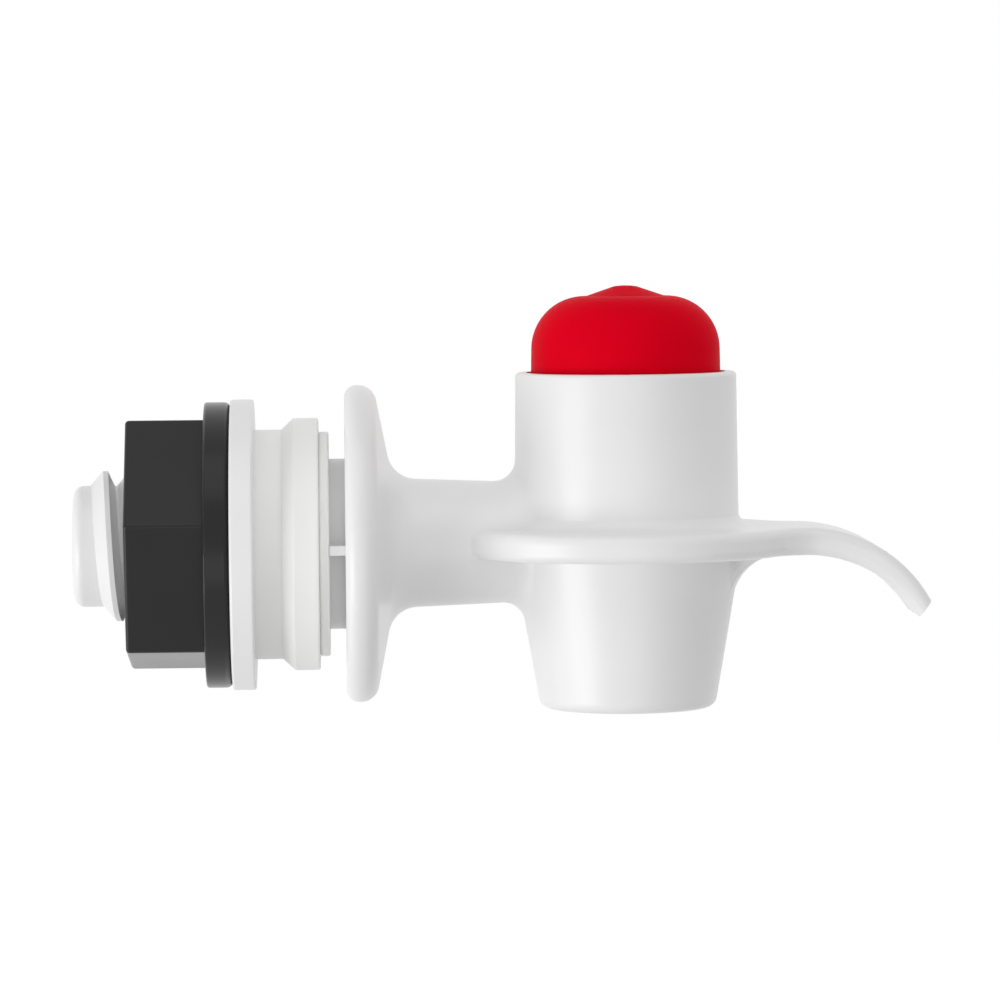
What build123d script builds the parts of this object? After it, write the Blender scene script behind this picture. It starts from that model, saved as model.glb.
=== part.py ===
# Push-button tap of an insulated drinks flask, in millimetres.
# +X runs along the shank out of the flask wall to the spout, +Z is up to the button.
# The origin is on the shank's axis, in the plane of the wall's outer face.
import os
from math import atan, ceil, cos, pi, sin
from build123d import *

# Wall of the flask and the rings clamped on it
wall_hole_diameter = 27.5
wall_thickness = 3.3
gasket_diameter = 30.2
gasket_thickness = 4.4
gasket_cone_length = 1.4
gasket_cone_depth = 1.3
lip_washer_diameter = 26.9
lip_washer_thickness = 1.2
nut_washer_diameter = 34.8
nut_washer_thickness = 2.8
ring_clearance = 0.3
ring_edge = 0.3

# Lock nut
nut_flange_diameter = 34.2
nut_flange_thickness = 3.1
nut_flange_inner_round = 0.75
nut_flange_outer_round = 0.3
nut_across_flats = 27.8
nut_hex_length = 9.3
nut_hex_turn = 48.2
nut_corner_radius = 0.5
nut_thread_margin = 0.3

# Threaded shank
thread_diameter = 18.0
thread_depth = 1.75
thread_pitch = 3.2
thread_crest = 0.6
thread_outer_flank = 1.5
thread_inner_flank = 0.8
thread_root_overlap = 0.15
thread_radial_clearance = 0.25
thread_axial_clearance = 0.15
shank_beyond_nut = 6.4
thread_lead_in = 3.0
shank_end_round = 1.2

# Boss, ribs and cover flange
boss_diameter = 20.4
boss_length = 1.9
boss_rib_height = 1.1
flange_diameter = 38.0
flange_rim_thickness = 3.5
flange_cone_length = 2.2
flange_back_round = 1.5
flange_front_round = 2.2
flange_neck_round = 3.5

# Outlet pipe and its water passage
waterway_diameter = 9.0
pipe_start_diameter = 15.6
pipe_end_diameter = 13.4
pipe_root_round = 2.6
inner_pipe_wall = 1.8

# Upright barrel and spout
barrel_reach = 33.8
barrel_base_diameter = 26.9
barrel_draft = 0.2
barrel_top = 20.3
barrel_rim_round = 0.5
barrel_wall = 1.3
spout_swell = 0.25
spout_taper = 3.2
spout_bottom = -20.0
spout_wall = 1.8
spout_tip_round = 1.4

# Finger plate and its hook
plate_top = 1.75
plate_thickness = 3.3
plate_overhang = 6.8
plate_edge_round = 1.1
plate_root_round = 1.9
root_overlap = 0.1
gusset_reach = 5.3
gusset_spread = 44
gusset_edge_round = 0.6
tongue_width = 14.6
tongue_plan_round = 6.0
tongue_straight = 21.0
hook_radius = 17.0
hook_angle = 61.5
hook_tip_thickness = 2.4
hook_tip_slant = 37

# Valve inside the barrel
passage_wall = 1.7
passage_clearance = 0.3
passage_headroom = 0.5
seat_depth = 6.5
seat_lip_height = 0.5
seat_lip_width = 0.7
gland_floor_thickness = 2.0
stem_diameter = 4.5
stem_clearance = 0.15
seal_section = 1.9
seal_clearance = 0.03
gland_slack = 0.1
gland_washer_diameter = 11.4
gland_washer_thickness = 1.0
stopper_diameter = 12.8
stopper_base_diameter = 9.6
stopper_thickness = 4.5
stopper_round = 0.5
stem_neck_diameter = 2.8
stem_head_diameter = 5.6
stem_head_length = 1.3
stem_head_bevel = 0.5
stem_top_diameter = 3.6
socket_clearance = 0.2
socket_roof = 2.4

# Push button
button_travel = 5.0
button_stop_gap = 0.3
button_clearance = 0.6
button_wall = 1.5
button_shoulder_height = 9.1
button_lean = 0.15
button_cone_diameter = 9.4
button_cone_height = 1.25
button_cap_radius = 1.4
button_cap_drop = 0.12
button_boss_diameter = 7.2
button_boss_length = 8.8
button_shoulder_flat = 0.15

# Return spring
spring_wire = 0.9
spring_mean_diameter = 9.8
spring_turns = 7.5

# Positions along the shank, from the wall outwards and inwards
bush_left = -wall_thickness
washer_left = bush_left - nut_washer_thickness
nut_flange_left = washer_left - nut_flange_thickness
nut_left = nut_flange_left - nut_hex_length
shank_left = nut_left - shank_beyond_nut
lip_left = gasket_thickness
lip_right = lip_left + lip_washer_thickness
flange_back = lip_right + boss_length
flange_front = flange_back + flange_rim_thickness
neck_x = flange_front + flange_cone_length
barrel_x = flange_back + barrel_reach

# Radii shared by pieces that fit together
crest_radius = thread_diameter / 2
core_radius = crest_radius - thread_depth
ring_bore_radius = crest_radius + ring_clearance
waterway_radius = waterway_diameter / 2
inner_pipe_radius = waterway_radius + inner_pipe_wall
barrel_base_radius = barrel_base_diameter / 2
barrel_top_radius = barrel_base_radius - barrel_draft
barrel_bore_radius = barrel_top_radius - barrel_wall
spout_root_radius = barrel_base_radius + spout_swell
spout_tip_radius = spout_root_radius - spout_taper
passage_radius = waterway_radius + passage_clearance
valve_tube_radius = passage_radius + passage_wall
stem_radius = stem_diameter / 2
seal_radius = seal_section / 2
seal_centre_radius = stem_radius + seal_clearance + seal_radius
gland_radius = seal_centre_radius + seal_radius + seal_clearance
button_radius = barrel_bore_radius - button_clearance
button_top_radius = button_radius - button_lean
button_cone_radius = button_cone_diameter / 2
button_boss_radius = button_boss_diameter / 2
stem_top_radius = stem_top_diameter / 2

# Heights inside the barrel
plate_bottom = plate_top - plate_thickness
passage_top = waterway_radius + passage_headroom
gland_floor = passage_top + gland_floor_thickness
gland_top = gland_floor + seal_section + gland_slack
spring_bottom = gland_top + gland_washer_thickness
seat_level = -seat_depth - seat_lip_height
stopper_bottom = seat_level - stopper_thickness
skirt_bottom = inner_pipe_radius + button_stop_gap + button_travel
shoulder_level = barrel_top + button_shoulder_height
button_ceiling = shoulder_level - button_wall
boss_bottom = button_ceiling - button_boss_length
socket_top = button_ceiling + button_wall - socket_roof
button_shoulder_round = button_top_radius - button_cone_radius - button_shoulder_flat

# Workplanes and axes
shank_axis = Axis((0, 0, 0), (1, 0, 0))
barrel_axis = Axis((barrel_x, 0, 0), (0, 0, 1))
barrel_section = Plane(origin=(barrel_x, 0, 0), x_dir=(1, 0, 0), z_dir=(0, -1, 0))


# A plane square to the shank, with its own x to the back of the tap and its own y up
def across_shank(position):
    return Plane(origin=(position, 0, 0), x_dir=(0, 1, 0), z_dir=(1, 0, 0))


# A flat ring round the shank, with small rounds on both outer edges
def shank_ring(left, thickness, diameter):
    with BuildPart() as ring:
        with BuildSketch(across_shank(left)):
            Circle(diameter / 2)
            Circle(ring_bore_radius, mode=Mode.SUBTRACT)
        extrude(amount=thickness)
        outer_edges = ring.edges().filter_by(GeomType.CIRCLE).sort_by(SortBy.RADIUS)[-2:]
        fillet(outer_edges, ring_edge)
    return ring.part


# Outer thread: a ridge with a broad outer flank and a steep inner one, right-handed
crest_half = thread_crest / 2
root_share = 1 + thread_root_overlap / thread_depth
thread_start = shank_left + thread_lead_in
thread_end = lip_left - crest_half
with BuildPart() as shank_ridge:
    with BuildLine() as shank_helix:
        Helix(pitch=thread_pitch, height=thread_end - thread_start, radius=core_radius)
    with BuildSketch(Plane(origin=shank_helix.line @ 0, x_dir=(1, 0, 0), z_dir=shank_helix.line % 0)):
        with BuildLine():
            Polyline(
                (-thread_root_overlap, crest_half + thread_outer_flank * root_share),
                (thread_depth, crest_half),
                (thread_depth, -crest_half),
                (-thread_root_overlap, -crest_half - thread_inner_flank * root_share),
                close=True,
            )
        make_face()
    sweep(path=shank_helix.line, is_frenet=True)

# Inner thread: fills the groove of the outer one, less a clearance on every side
nut_bore_radius = crest_radius + thread_radial_clearance
nut_ridge_depth = nut_bore_radius - core_radius - thread_radial_clearance
tip_share = 1 - thread_radial_clearance / thread_depth
base_share = -(thread_radial_clearance + thread_root_overlap) / thread_depth
low_edge = crest_half + thread_axial_clearance
high_edge = thread_pitch - crest_half - thread_axial_clearance
low_base = low_edge + thread_inner_flank * base_share
high_base = high_edge - thread_outer_flank * base_share
whole_turns = ceil((nut_left + nut_thread_margin - low_base - thread_start) / thread_pitch)
nut_thread_start = thread_start + whole_turns * thread_pitch
nut_thread_length = washer_left - nut_thread_margin - high_base - nut_thread_start
with BuildPart() as nut_ridge:
    with BuildLine() as nut_helix:
        Helix(pitch=thread_pitch, height=nut_thread_length, radius=nut_bore_radius)
    with BuildSketch(Plane(origin=nut_helix.line @ 0, x_dir=(1, 0, 0), z_dir=nut_helix.line % 0)):
        with BuildLine():
            Polyline(
                (thread_root_overlap, -low_base),
                (-nut_ridge_depth, -low_edge - thread_inner_flank * tip_share),
                (-nut_ridge_depth, -high_edge + thread_outer_flank * tip_share),
                (thread_root_overlap, -high_base),
                close=True,
            )
        make_face()
    sweep(path=nut_helix.line, is_frenet=True)

# Finger plate: a disc round the barrel that narrows to a tongue and hooks down at the front
plate_radius = barrel_base_radius + plate_overhang
hook_start = barrel_x + tongue_straight
hook_lean = hook_angle * pi / 180
tip_slant = hook_tip_slant * pi / 180
hook_tip_x = hook_start + hook_radius * sin(hook_lean)
hook_tip_z = plate_top - hook_radius + hook_radius * cos(hook_lean)
hook_inner_x = hook_tip_x - hook_tip_thickness * sin(tip_slant)
hook_inner_z = hook_tip_z - hook_tip_thickness * cos(tip_slant)
with BuildPart() as finger_plate:
    with BuildSketch() as plate_plan:
        with Locations((barrel_x, 0)):
            Circle(plate_radius)
            Rectangle(hook_tip_x - barrel_x, tongue_width, align=(Align.MIN, Align.CENTER))
        inner_corners = plate_plan.vertices().sort_by(Axis.X)[-4:-2]
        fillet(inner_corners, tongue_plan_round)
    extrude(amount=hook_radius, both=True)
    with BuildSketch(Plane.XZ):
        with BuildLine():
            Line((barrel_x - plate_radius, plate_top), (hook_start, plate_top))
            TangentArc((hook_start, plate_top), (hook_tip_x, hook_tip_z), tangent=(1, 0))
            Line((hook_tip_x, hook_tip_z), (hook_inner_x, hook_inner_z))
            TangentArc((hook_start, plate_bottom), (hook_inner_x, hook_inner_z), tangent=(1, 0))
            Line((hook_start, plate_bottom), (barrel_x - plate_radius, plate_bottom))
            Line((barrel_x - plate_radius, plate_bottom), (barrel_x - plate_radius, plate_top))
        make_face()
    extrude(amount=plate_radius, both=True, mode=Mode.INTERSECT)
    rim_edges = finger_plate.edges().filter_by(Axis.Z, reverse=True).filter_by(Axis.Y, reverse=True)
    tip_edges = rim_edges.sort_by(Axis.X)[-2:]
    fillet(rim_edges - tip_edges, plate_edge_round)

# Round between the plate and the barrel above it
plate_middle = (plate_top + plate_bottom) / 2
barrel_lean = atan(barrel_draft / (barrel_top - plate_top))
root_outer_r = barrel_base_radius + plate_root_round
root_upper_r = barrel_base_radius - plate_root_round * sin(barrel_lean) - root_overlap
root_upper_z = plate_top + plate_root_round * cos(barrel_lean)

# Gusset: a short hollow web that holds the tongue up against the spout
spout_lean = atan(spout_taper / (plate_bottom - spout_bottom))
gusset_outer_r = spout_root_radius + gusset_reach
gusset_low_r = spout_root_radius - gusset_reach * sin(spout_lean) - root_overlap
gusset_low_z = plate_bottom - gusset_reach * cos(spout_lean)
gusset_turn = gusset_spread / 2 * pi / 180
gusset_side = Plane(
    origin=(barrel_x, 0, 0),
    x_dir=(cos(gusset_turn), -sin(gusset_turn), 0),
    z_dir=(-sin(gusset_turn), -cos(gusset_turn), 0),
)
with BuildPart() as gusset:
    with BuildSketch(gusset_side):
        with BuildLine():
            Line((spout_tip_radius, gusset_low_z), (gusset_low_r, gusset_low_z))
            TangentArc((gusset_outer_r, plate_bottom), (gusset_low_r, gusset_low_z), tangent=(-1, 0))
            Line((gusset_outer_r, plate_bottom), (gusset_outer_r, plate_middle))
            Line((gusset_outer_r, plate_middle), (spout_tip_radius, plate_middle))
            Line((spout_tip_radius, plate_middle), (spout_tip_radius, gusset_low_z))
        make_face()
    revolve(axis=barrel_axis, revolution_arc=gusset_spread)
    hollow_edges = gusset.edges().filter_by(GeomType.CIRCLE).filter_by(Plane.XY, reverse=True)
    fillet(hollow_edges, gusset_edge_round)

with BuildPart() as tap_body:
    # Barrel and spout, turned in one
    with BuildSketch(barrel_section) as barrel_outline:
        with BuildLine():
            Polyline(
                (0, spout_bottom),
                (spout_tip_radius, spout_bottom),
                (spout_root_radius, plate_bottom),
                (barrel_base_radius, plate_top),
                (barrel_top_radius, barrel_top),
                (0, barrel_top),
                close=True,
            )
        make_face()
        tip_corner = barrel_outline.vertices().sort_by_distance((spout_tip_radius, spout_bottom))[0]
        fillet(tip_corner, spout_tip_round)
        rim_corner = barrel_outline.vertices().sort_by_distance((barrel_top_radius, barrel_top))[0]
        fillet(rim_corner, barrel_rim_round)
    revolve(axis=barrel_axis)

    # Shank, boss, and the cover flange that flares into the outlet pipe, turned in one
    with BuildSketch() as flange_outline:
        with BuildLine():
            Polyline(
                (shank_left, 0),
                (shank_left, core_radius),
                (lip_right, core_radius),
                (lip_right, boss_diameter / 2),
                (flange_back, boss_diameter / 2),
                (flange_back, flange_diameter / 2),
                (flange_front, flange_diameter / 2),
                (neck_x, pipe_start_diameter / 2),
                (barrel_x, pipe_end_diameter / 2),
                (barrel_x, 0),
                close=True,
            )
        make_face()
        shank_corner = flange_outline.vertices().sort_by_distance((shank_left, core_radius))[0]
        fillet(shank_corner, shank_end_round)
        back_corner = flange_outline.vertices().sort_by_distance((flange_back, flange_diameter / 2))[0]
        fillet(back_corner, flange_back_round)
        front_corner = flange_outline.vertices().sort_by_distance((flange_front, flange_diameter / 2))[0]
        fillet(front_corner, flange_front_round)
        neck_corner = flange_outline.vertices().sort_by_distance((neck_x, pipe_start_diameter / 2))[0]
        fillet(neck_corner, flange_neck_round)
    revolve(axis=shank_axis)

    # Round where the outlet pipe runs into the barrel
    pipe_root = tap_body.edges().filter_by(GeomType.BSPLINE)
    fillet(pipe_root, pipe_root_round)

    # Two ribs on the boss, level with the shank's axis
    with BuildSketch(across_shank(lip_right)):
        Rectangle(lip_washer_diameter, boss_rib_height)
    extrude(amount=boss_length)

    # Finger plate, its gusset, and the round that joins it to the barrel
    add(finger_plate.part)
    add(gusset.part)
    with BuildSketch(barrel_section):
        with BuildLine():
            Line((root_outer_r, plate_middle), (root_outer_r, plate_top))
            TangentArc((root_outer_r, plate_top), (root_upper_r, root_upper_z), tangent=(-1, 0))
            Line((root_upper_r, root_upper_z), (spout_tip_radius, root_upper_z))
            Line((spout_tip_radius, root_upper_z), (spout_tip_radius, plate_middle))
            Line((spout_tip_radius, plate_middle), (root_outer_r, plate_middle))
        make_face()
    revolve(axis=barrel_axis)

    # Thread on the shank
    with Locations(across_shank(thread_start)):
        add(shank_ridge.part)

    # Button well above the plate, open spout below it
    with Locations((barrel_x, 0, plate_top)):
        Cylinder(
            barrel_bore_radius,
            barrel_top - plate_top,
            align=(Align.CENTER, Align.CENTER, Align.MIN),
            mode=Mode.SUBTRACT,
        )
    with Locations((barrel_x, 0, spout_bottom)):
        Cone(
            spout_tip_radius - spout_wall,
            spout_root_radius - spout_wall,
            plate_bottom - spout_bottom,
            align=(Align.CENTER, Align.CENTER, Align.MIN),
            mode=Mode.SUBTRACT,
        )

    # Inner pipe across the barrel and the upright valve tube with its seat lip and gland
    with BuildSketch(across_shank(barrel_x - barrel_bore_radius - barrel_wall / 2)):
        Circle(inner_pipe_radius)
    extrude(amount=barrel_bore_radius + barrel_wall / 2)
    with Locations((barrel_x, 0, -seat_depth)):
        Cylinder(
            valve_tube_radius,
            seat_depth + gland_top,
            align=(Align.CENTER, Align.CENTER, Align.MIN),
        )
    with Locations((barrel_x, 0, seat_level)):
        Cylinder(
            passage_radius + seat_lip_width,
            seat_lip_height,
            align=(Align.CENTER, Align.CENTER, Align.MIN),
        )
    with BuildSketch(across_shank(shank_left)):
        Circle(waterway_radius)
    extrude(amount=barrel_x - shank_left, mode=Mode.SUBTRACT)
    with Locations((barrel_x, 0, seat_level)):
        Cylinder(
            passage_radius,
            passage_top - seat_level,
            align=(Align.CENTER, Align.CENTER, Align.MIN),
            mode=Mode.SUBTRACT,
        )
    with Locations((barrel_x, 0, gland_top)):
        CounterBoreHole(
            stem_radius + stem_clearance,
            gland_radius,
            gland_top - gland_floor,
            gland_top - passage_top + passage_headroom,
        )

# Wall bush: the neck that stands in the wall's hole
with BuildPart() as wall_bush:
    with BuildSketch(across_shank(bush_left)):
        Circle(wall_hole_diameter / 2)
        Circle(ring_bore_radius, mode=Mode.SUBTRACT)
    extrude(amount=wall_thickness)

# Bead gasket outside the wall, with a cone towards it
with BuildPart() as outer_gasket:
    with BuildSketch(Plane.XZ) as gasket_outline:
        with BuildLine():
            Polyline(
                (0, ring_bore_radius),
                (0, gasket_diameter / 2 - gasket_cone_depth),
                (gasket_cone_length, gasket_diameter / 2),
                (gasket_thickness, gasket_diameter / 2),
                (gasket_thickness, ring_bore_radius),
                close=True,
            )
        make_face()
        outer_corners = gasket_outline.vertices().sort_by(Axis.Y)[-2:]
        fillet(outer_corners, ring_edge)
    revolve(axis=shank_axis)

# Thin washer between the gasket and the ribs
with BuildPart() as lip_washer:
    add(shank_ring(lip_left, lip_washer_thickness, lip_washer_diameter))

# Flat washer under the nut
with BuildPart() as nut_washer:
    add(shank_ring(washer_left, nut_washer_thickness, nut_washer_diameter))

# Flanged hexagon nut with an inner thread
with BuildPart() as lock_nut:
    with BuildSketch(across_shank(nut_left)):
        RegularPolygon(nut_across_flats / 2, 6, major_radius=False, rotation=nut_hex_turn)
    extrude(amount=nut_hex_length)
    corner_edges = lock_nut.edges().filter_by(Axis.X)
    fillet(corner_edges, nut_corner_radius)
    outer_face = lock_nut.faces().sort_by(Axis.X)[0]
    fillet(outer_face.edges(), nut_corner_radius)
    with BuildSketch(Plane.XZ) as nut_flange_outline:
        with BuildLine():
            Polyline(
                (nut_flange_left, 0),
                (nut_flange_left, nut_flange_diameter / 2),
                (washer_left, nut_flange_diameter / 2),
                (washer_left, 0),
                close=True,
            )
        make_face()
        inner_corner = nut_flange_outline.vertices().sort_by_distance((washer_left, nut_flange_diameter / 2))[0]
        fillet(inner_corner, nut_flange_inner_round)
        outer_corner = nut_flange_outline.vertices().sort_by_distance((nut_flange_left, nut_flange_diameter / 2))[0]
        fillet(outer_corner, nut_flange_outer_round)
    revolve(axis=shank_axis)
    with BuildSketch(across_shank(nut_left)):
        Circle(nut_bore_radius)
    extrude(amount=washer_left - nut_left, mode=Mode.SUBTRACT)
    with Locations(across_shank(nut_thread_start)):
        add(nut_ridge.part)

# Push button: a capped skirt with a low cone on top and a socket for the stem
with BuildPart() as push_button:
    with BuildSketch(barrel_section) as button_outline:
        with BuildLine():
            Line((0, shoulder_level + button_cone_height), (0, socket_top))
            Polyline(
                (0, socket_top),
                (stem_top_radius, socket_top),
                (stem_top_radius, boss_bottom),
                (button_boss_radius, boss_bottom),
                (button_boss_radius, button_ceiling),
                (button_radius - button_wall, button_ceiling),
                (button_radius - button_wall, skirt_bottom),
                (button_radius, skirt_bottom),
                (button_radius, barrel_top),
                (button_top_radius, shoulder_level),
                (button_cone_radius, shoulder_level),
                (button_cap_radius, shoulder_level + button_cone_height - button_cap_drop),
            )
            TangentArc(
                (0, shoulder_level + button_cone_height),
                (button_cap_radius, shoulder_level + button_cone_height - button_cap_drop),
                tangent=(1, 0),
            )
        make_face()
        shoulder_corner = button_outline.vertices().sort_by_distance((button_top_radius, shoulder_level))[0]
        fillet(shoulder_corner, button_shoulder_round)
        ceiling_point = (button_radius - button_wall, button_ceiling)
        ceiling_corner = button_outline.vertices().sort_by_distance(ceiling_point)[0]
        fillet(ceiling_corner, button_shoulder_round - button_wall)
    revolve(axis=barrel_axis)

# Stem: presses the stopper down, with a head that holds the stopper on its neck
with BuildPart() as valve_stem:
    with BuildSketch(barrel_section):
        with BuildLine():
            Polyline(
                (0, stopper_bottom - stem_head_length),
                (stem_head_diameter / 2 - stem_head_bevel, stopper_bottom - stem_head_length),
                (stem_head_diameter / 2, stopper_bottom - stem_head_length + stem_head_bevel),
                (stem_head_diameter / 2, stopper_bottom),
                (stem_neck_diameter / 2, stopper_bottom),
                (stem_neck_diameter / 2, seat_level),
                (stem_radius, seat_level),
                (stem_radius, boss_bottom),
                (stem_top_radius, boss_bottom),
                (stem_top_radius, socket_top - socket_clearance),
                (0, socket_top - socket_clearance),
                close=True,
            )
        make_face()
    revolve(axis=barrel_axis)

# Stopper: a rubber plug that the spring pulls up against the seat lip
with BuildPart() as valve_stopper:
    with BuildSketch(barrel_section) as stopper_outline:
        with BuildLine():
            Polyline(
                (stem_neck_diameter / 2, stopper_bottom),
                (stopper_base_diameter / 2, stopper_bottom),
                (stopper_diameter / 2, seat_level - stopper_round * 3),
                (stopper_diameter / 2, seat_level),
                (stem_neck_diameter / 2, seat_level),
                close=True,
            )
        make_face()
        outer_corners = stopper_outline.vertices().sort_by(Axis.X)[-3:]
        fillet(outer_corners, stopper_round)
    revolve(axis=barrel_axis)

# Ring seal round the stem, at the bottom of the gland
with BuildPart() as stem_seal:
    with Locations((barrel_x, 0, gland_floor + seal_radius)):
        Torus(seal_centre_radius, seal_radius)

# Washer that closes the gland and carries the spring
with BuildPart() as gland_washer:
    with BuildSketch(Plane(origin=(barrel_x, 0, gland_top))):
        Circle(gland_washer_diameter / 2)
        Circle(stem_radius + stem_clearance, mode=Mode.SUBTRACT)
    extrude(amount=gland_washer_thickness)

# Return spring between the gland washer and the button
wire_radius = spring_wire / 2
spring_rise = button_ceiling - spring_bottom - spring_wire
with BuildPart() as return_spring:
    with BuildLine() as coil:
        Helix(
            pitch=spring_rise / spring_turns,
            height=spring_rise,
            radius=spring_mean_diameter / 2,
            center=(barrel_x, 0, spring_bottom + wire_radius),
        )
    with BuildSketch(Plane(origin=coil.line @ 0, z_dir=coil.line % 0)):
        Circle(wire_radius)
    sweep(path=coil.line, is_frenet=True)

os.makedirs("parts", exist_ok=True)
tap_body.part.label = "tap_body"
wall_bush.part.label = "wall_bush"
outer_gasket.part.label = "outer_gasket"
lip_washer.part.label = "lip_washer"
nut_washer.part.label = "nut_washer"
lock_nut.part.label = "lock_nut"
push_button.part.label = "push_button"
valve_stem.part.label = "valve_stem"
valve_stopper.part.label = "valve_stopper"
stem_seal.part.label = "stem_seal"
gland_washer.part.label = "gland_washer"
return_spring.part.label = "return_spring"
export_step(tap_body.part, "parts/tap_body.step")
export_step(wall_bush.part, "parts/wall_bush.step")
export_step(outer_gasket.part, "parts/outer_gasket.step")
export_step(lip_washer.part, "parts/lip_washer.step")
export_step(nut_washer.part, "parts/nut_washer.step")
export_step(lock_nut.part, "parts/lock_nut.step")
export_step(push_button.part, "parts/push_button.step")
export_step(valve_stem.part, "parts/valve_stem.step")
export_step(valve_stopper.part, "parts/valve_stopper.step")
export_step(stem_seal.part, "parts/stem_seal.step")
export_step(gland_washer.part, "parts/gland_washer.step")
export_step(return_spring.part, "parts/return_spring.step")
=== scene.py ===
from math import cos, pi, radians, sin

import bmesh
import bpy
from mathutils import Matrix, Vector


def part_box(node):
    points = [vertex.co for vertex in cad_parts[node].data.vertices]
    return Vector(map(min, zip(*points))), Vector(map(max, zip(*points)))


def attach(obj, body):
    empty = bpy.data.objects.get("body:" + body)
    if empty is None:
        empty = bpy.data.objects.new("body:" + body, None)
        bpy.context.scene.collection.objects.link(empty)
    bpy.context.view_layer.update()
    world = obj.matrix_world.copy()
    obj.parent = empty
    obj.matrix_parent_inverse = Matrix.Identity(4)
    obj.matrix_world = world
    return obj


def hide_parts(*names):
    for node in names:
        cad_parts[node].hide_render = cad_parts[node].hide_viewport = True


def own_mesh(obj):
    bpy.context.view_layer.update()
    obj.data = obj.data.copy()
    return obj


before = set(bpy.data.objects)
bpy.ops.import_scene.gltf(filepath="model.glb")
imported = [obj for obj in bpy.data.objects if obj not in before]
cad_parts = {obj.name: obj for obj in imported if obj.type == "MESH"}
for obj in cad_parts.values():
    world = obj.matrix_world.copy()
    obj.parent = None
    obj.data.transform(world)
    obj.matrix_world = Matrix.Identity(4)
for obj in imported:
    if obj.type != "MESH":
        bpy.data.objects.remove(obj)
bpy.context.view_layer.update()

# Camera: looks along the tap's side from a little above, from just left of its middle.
# It has a long lens at 0.6 metres and is turned by under two degrees, as in the photograph.
camera_target = Vector((0.0261, 0.0, 0.00504))
camera_distance = 0.605
camera_pitch = radians(3.2)
camera_yaw = radians(-1.8)
camera_roll = radians(-0.5)
picture_width = 0.12
film_width = 36
nearest_seen = 0.05
furthest_seen = 20
camera_data = bpy.data.cameras.new("camera")
camera_data.sensor_width = film_width
camera_data.lens = film_width * camera_distance / picture_width
camera_data.clip_start = nearest_seen
camera_data.clip_end = furthest_seen
camera = bpy.data.objects.new("camera", camera_data)
level_sight = Vector((-sin(camera_yaw), cos(camera_yaw), 0))
sight = level_sight * cos(camera_pitch) - Vector((0, 0, sin(camera_pitch)))
turn = sight.to_track_quat("-Z", "Y").to_matrix() @ Matrix.Rotation(camera_roll, 3, "Z")
camera.matrix_world = Matrix.Translation(camera_target - sight * camera_distance) @ turn.to_4x4()
bpy.context.scene.collection.objects.link(camera)
bpy.context.scene.camera = camera
bpy.context.scene.view_settings.view_transform = "Standard"

# Floor: a plain pale sheet, as far below the tap as a table is below a flask's tap on its stand.
# What the eye and the reflections see of it is lifted to white, and the tap's shadow stays on it.
floor_level = -0.45
floor_half_side = 4.0
floor_grey = 0.62
floor_roughness = 0.9
floor_lift = 0.61
floor_mesh = bpy.data.meshes.new("floor")
floor_bm = bmesh.new()
bmesh.ops.create_grid(floor_bm, x_segments=1, y_segments=1, size=floor_half_side)
bmesh.ops.translate(floor_bm, verts=floor_bm.verts, vec=(0, 0, floor_level))
floor_bm.to_mesh(floor_mesh)
floor_bm.free()
floor = bpy.data.objects.new("floor", floor_mesh)
bpy.context.scene.collection.objects.link(floor)


# 1 for a ray from the eye, from a glossy surface or through a clear one, and 0 for all others
def seen_rays(tree):
    path = tree.nodes.new("ShaderNodeLightPath")
    gloss = tree.nodes.new("ShaderNodeMath")
    gloss.operation = "MAXIMUM"
    tree.links.new(path.outputs["Is Glossy Ray"], gloss.inputs[0])
    tree.links.new(path.outputs["Is Transmission Ray"], gloss.inputs[1])
    seen = tree.nodes.new("ShaderNodeMath")
    seen.operation = "MAXIMUM"
    tree.links.new(path.outputs["Is Camera Ray"], seen.inputs[0])
    tree.links.new(gloss.outputs["Value"], seen.inputs[1])
    return seen.outputs["Value"]


floor_paint = bpy.data.materials.new("pale_floor")
floor_paint.use_nodes = True
floor_tree = floor_paint.node_tree
floor_shader = floor_tree.nodes["Principled BSDF"]
floor_shader.inputs["Base Color"].default_value = (floor_grey, floor_grey, floor_grey, 1)
floor_shader.inputs["Roughness"].default_value = floor_roughness
floor_glow = floor_tree.nodes.new("ShaderNodeEmission")
lift_seen = floor_tree.nodes.new("ShaderNodeMath")
lift_seen.operation = "MULTIPLY"
lift_seen.inputs[1].default_value = floor_lift
floor_tree.links.new(seen_rays(floor_tree), lift_seen.inputs[0])
floor_tree.links.new(lift_seen.outputs["Value"], floor_glow.inputs["Strength"])
floor_sum = floor_tree.nodes.new("ShaderNodeAddShader")
floor_tree.links.new(floor_shader.outputs["BSDF"], floor_sum.inputs[0])
floor_tree.links.new(floor_glow.outputs["Emission"], floor_sum.inputs[1])
floor_tree.links.new(floor_sum.outputs["Shader"], floor_tree.nodes["Material Output"].inputs["Surface"])
floor_mesh.materials.append(floor_paint)

# World: soft grey light from all round the tap.
# Where the eye or a reflection looks past the floor, it is plain white.
world_level = 0.63
world = bpy.data.worlds.new("studio")
world.use_nodes = True
world_tree = world.node_tree
world_light = world_tree.nodes["Background"]
world_light.inputs["Color"].default_value = (1, 1, 1, 1)
world_light.inputs["Strength"].default_value = world_level
world_white = world_tree.nodes.new("ShaderNodeBackground")
world_white.inputs["Color"].default_value = (1, 1, 1, 1)
world_white.inputs["Strength"].default_value = 1.0
world_mix = world_tree.nodes.new("ShaderNodeMixShader")
world_tree.links.new(seen_rays(world_tree), world_mix.inputs["Fac"])
world_tree.links.new(world_light.outputs["Background"], world_mix.inputs[1])
world_tree.links.new(world_white.outputs["Background"], world_mix.inputs[2])
world_tree.links.new(world_mix.outputs["Shader"], world_tree.nodes["World Output"].inputs["Surface"])
bpy.context.scene.world = world


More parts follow.
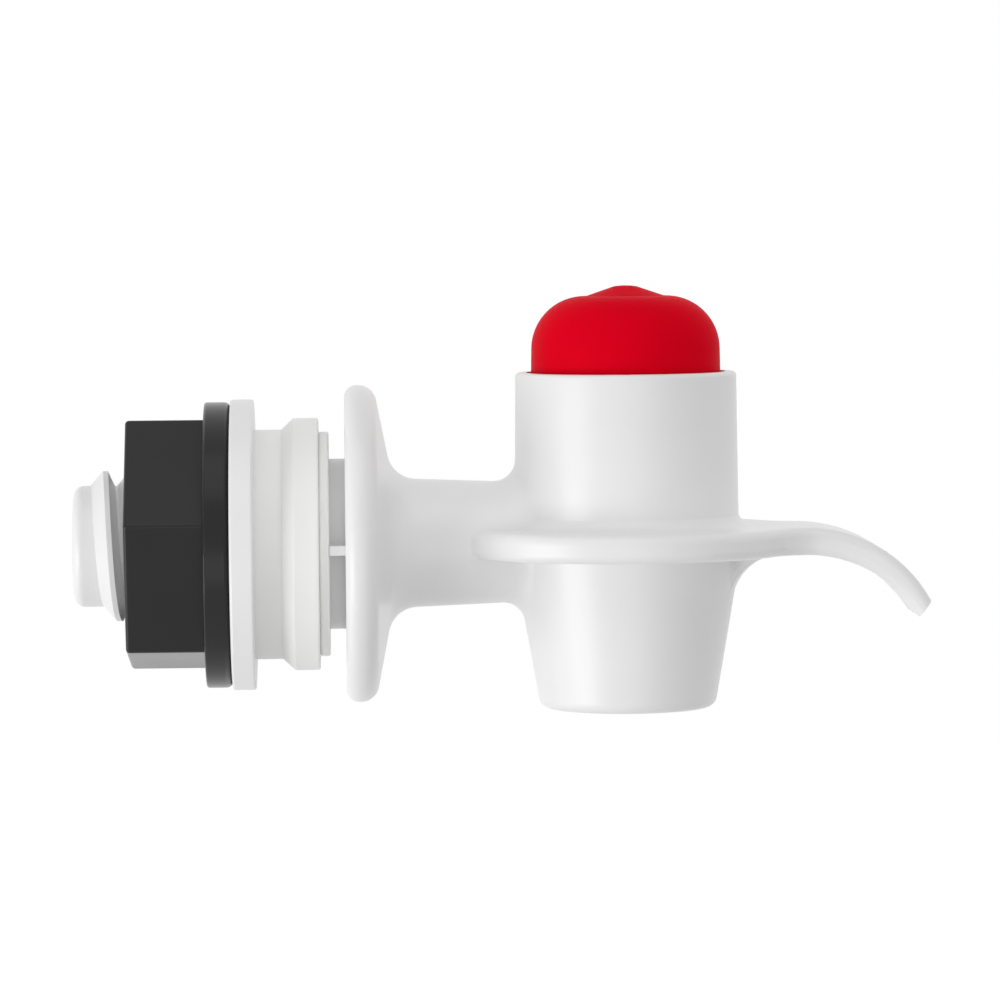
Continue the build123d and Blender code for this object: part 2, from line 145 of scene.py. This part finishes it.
# Lamps: the strongest is a soft box in front at the left, lower than the tap.
# Weak ones stand at the far left, low in front and high in front.
def soft_box(name, place, aim, width, height, power):
    lamp_data = bpy.data.lights.new(name, "AREA")
    lamp_data.shape = "RECTANGLE"
    lamp_data.size = width
    lamp_data.size_y = height
    lamp_data.energy = power
    lamp = bpy.data.objects.new(name, lamp_data)
    facing = (Vector(aim) - Vector(place)).to_track_quat("-Z", "Y").to_matrix()
    lamp.matrix_world = Matrix.Translation(place) @ facing.to_4x4()
    bpy.context.scene.collection.objects.link(lamp)


flask_wall = (0, 0, 0)
tap_middle = (0.03, 0, 0)
soft_box("key_box", (-0.55, -0.36, -0.18), tap_middle, width=0.4, height=0.4, power=1.85)
soft_box("left_box", (-0.49, 0, -0.297), flask_wall, width=0.3, height=0.3, power=0.3)
soft_box("front_box", (0.09, -0.67, -0.18), tap_middle, width=0.3, height=0.3, power=0.25)
soft_box("top_box", (0.03, -0.35, 0.61), tap_middle, width=0.7, height=0.5, power=0.6)


# Tap body: one moulding in white glossy plastic, from the threaded shank to the finger hook.
# Its skin has the faint orange peel and cloudy gloss of a moulded part.
clouds_per_metre = 60
cloud_detail = 3
cloud_edges = (0.35, 0.65)
grain_detail = 4
grain_strength = 0.25


def moulded_plastic(name, colour, shade_colour, roughness, rough_spread, grain_size, grain_depth):
    paint = bpy.data.materials.new(name)
    paint.use_nodes = True
    nodes = paint.node_tree.nodes
    links = paint.node_tree.links
    shader = nodes["Principled BSDF"]
    place = nodes.new("ShaderNodeTexCoord")
    cloud = nodes.new("ShaderNodeTexNoise")
    cloud.inputs["Scale"].default_value = clouds_per_metre
    cloud.inputs["Detail"].default_value = cloud_detail
    links.new(place.outputs["Object"], cloud.inputs["Vector"])
    tint = nodes.new("ShaderNodeValToRGB")
    for stop, edge, stop_colour in zip(tint.color_ramp.elements, cloud_edges, (shade_colour, colour)):
        stop.position = edge
        stop.color = (*stop_colour, 1)
    links.new(cloud.outputs["Fac"], tint.inputs["Fac"])
    links.new(tint.outputs["Color"], shader.inputs["Base Color"])
    gloss = nodes.new("ShaderNodeMapRange")
    gloss.inputs["To Min"].default_value = roughness - rough_spread
    gloss.inputs["To Max"].default_value = roughness + rough_spread
    links.new(cloud.outputs["Fac"], gloss.inputs["Value"])
    links.new(gloss.outputs["Result"], shader.inputs["Roughness"])
    grain = nodes.new("ShaderNodeTexNoise")
    grain.inputs["Scale"].default_value = 1 / grain_size
    grain.inputs["Detail"].default_value = grain_detail
    links.new(place.outputs["Object"], grain.inputs["Vector"])
    skin = nodes.new("ShaderNodeBump")
    skin.inputs["Strength"].default_value = grain_strength
    skin.inputs["Distance"].default_value = grain_depth
    links.new(grain.outputs["Fac"], skin.inputs["Height"])
    links.new(skin.outputs["Normal"], shader.inputs["Normal"])
    return paint


def dress(node, paint):
    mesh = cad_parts[node].data
    mesh.materials.clear()
    mesh.materials.append(paint)


white_gloss = moulded_plastic(
    "white_gloss_plastic",
    colour=(0.9, 0.9, 0.9),
    shade_colour=(0.87, 0.87, 0.87),
    roughness=0.32,
    rough_spread=0.05,
    grain_size=0.0012,
    grain_depth=0.00002,
)
dress("tap_body", white_gloss)


# Rings on the shank: bush, bead gasket and lip washer in soft white rubber that light enters.
# The flat washer under the nut is hard white plastic. The nut clamps them to the flask's wall.
def set_socket(paint, socket, value):
    paint.node_tree.nodes["Principled BSDF"].inputs[socket].default_value = value


white_rubber = moulded_plastic(
    "white_rubber",
    colour=(0.97, 0.97, 0.96),
    shade_colour=(0.94, 0.94, 0.93),
    roughness=0.5,
    rough_spread=0.06,
    grain_size=0.0006,
    grain_depth=0.00003,
)
set_socket(white_rubber, "Subsurface Weight", 0.2)
set_socket(white_rubber, "Subsurface Radius", (1, 1, 1))
set_socket(white_rubber, "Subsurface Scale", 0.001)
dress("wall_bush", white_rubber)
dress("outer_gasket", white_rubber)
dress("lip_washer", white_rubber)
washer_plastic = moulded_plastic(
    "washer_plastic",
    colour=(0.93, 0.93, 0.93),
    shade_colour=(0.9, 0.9, 0.9),
    roughness=0.4,
    rough_spread=0.05,
    grain_size=0.0008,
    grain_depth=0.00002,
)
dress("nut_washer", washer_plastic)

# Lock nut: black glossy plastic, moulded in one with its flange.
# It turns on the shank's thread.
black_gloss = moulded_plastic(
    "black_gloss_plastic",
    colour=(0.012, 0.012, 0.013),
    shade_colour=(0.009, 0.009, 0.01),
    roughness=0.24,
    rough_spread=0.06,
    grain_size=0.0009,
    grain_depth=0.00002,
)
set_socket(black_gloss, "Specular IOR Level", 0.28)
dress("lock_nut", black_gloss)

# Push button: a red satin plastic cap with almost no gloss.
# It slides in the barrel's mouth, on the stem.
red_satin = moulded_plastic(
    "red_satin_plastic",
    colour=(0.8, 0.0, 0.014),
    shade_colour=(0.75, 0.0, 0.012),
    roughness=0.5,
    rough_spread=0.06,
    grain_size=0.0007,
    grain_depth=0.00002,
)
set_socket(red_satin, "Specular IOR Level", 0.015)
dress("push_button", red_satin)

# Stem and gland washer: natural white plastic, hidden in the barrel.
# The stem hangs from the button, and the washer lies on the gland.
stem_plastic = moulded_plastic(
    "stem_plastic",
    colour=(0.8, 0.8, 0.77),
    shade_colour=(0.74, 0.74, 0.71),
    roughness=0.35,
    rough_spread=0.05,
    grain_size=0.0008,
    grain_depth=0.00002,
)
dress("valve_stem", stem_plastic)
dress("gland_washer", stem_plastic)

# Stopper and ring seal: moulded grey rubber.
# The stopper sits on the stem's neck, and the seal in the gland round the stem.
seal_rubber = moulded_plastic(
    "seal_rubber",
    colour=(0.5, 0.5, 0.48),
    shade_colour=(0.42, 0.42, 0.41),
    roughness=0.55,
    rough_spread=0.06,
    grain_size=0.0005,
    grain_depth=0.00003,
)
dress("valve_stopper", seal_rubber)
dress("stem_seal", seal_rubber)

# Return spring: drawn steel wire, coiled round the stem with a closed turn at each end.
# It stands on the gland washer and shortens as the button goes down.
spring_low, spring_high = (Vector(corner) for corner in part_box("return_spring"))
wire_diameter = 0.0009
wire_sides = 14
closed_turns = 1
open_turns = 5.5
steps_per_turn = 40
coil_radius = (spring_high.x - spring_low.x - wire_diameter) / 2
coil_middle = (spring_low + spring_high) / 2
coil_rise = spring_high.z - spring_low.z - wire_diameter
closed_pitch = wire_diameter
open_pitch = (coil_rise - 2 * closed_turns * closed_pitch) / open_turns
spring_bm = bmesh.new()
section = bmesh.ops.create_circle(spring_bm, segments=wire_sides, radius=wire_diameter / 2)["verts"]
stand_up = Matrix.Rotation(pi / 2, 4, "X")
wire_start = (coil_middle.x + coil_radius, coil_middle.y, spring_low.z + wire_diameter / 2)
bmesh.ops.transform(spring_bm, matrix=Matrix.Translation(wire_start) @ stand_up, verts=section)
wire_end = list(spring_bm.verts) + list(spring_bm.edges)
closed_end = (closed_turns, closed_pitch)
for turns, pitch in (closed_end, (open_turns, open_pitch), closed_end):
    wire_end = bmesh.ops.spin(
        spring_bm,
        geom=wire_end,
        cent=coil_middle,
        axis=(0, 0, 1),
        dvec=(0, 0, pitch / steps_per_turn),
        angle=2 * pi * turns,
        steps=round(steps_per_turn * turns),
    )["geom_last"]
merge_distance = wire_diameter / 100
bmesh.ops.remove_doubles(spring_bm, verts=spring_bm.verts, dist=merge_distance)
bmesh.ops.holes_fill(spring_bm, edges=spring_bm.edges, sides=0)
bmesh.ops.recalc_face_normals(spring_bm, faces=spring_bm.faces)
side_corners = 4
for face in spring_bm.faces:
    face.smooth = len(face.verts) == side_corners
spring_mesh = bpy.data.meshes.new("spring_coil")
spring_bm.to_mesh(spring_mesh)
spring_bm.free()
spring_steel = moulded_plastic(
    "spring_steel",
    colour=(0.55, 0.55, 0.56),
    shade_colour=(0.45, 0.45, 0.46),
    roughness=0.3,
    rough_spread=0.08,
    grain_size=0.0004,
    grain_depth=0.00001,
)
set_socket(spring_steel, "Metallic", 1)
spring_mesh.materials.append(spring_steel)
spring_coil = bpy.data.objects.new("spring_coil", spring_mesh)
bpy.context.scene.collection.objects.link(spring_coil)
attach(spring_coil, "tap")
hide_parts("return_spring")
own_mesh(spring_coil)
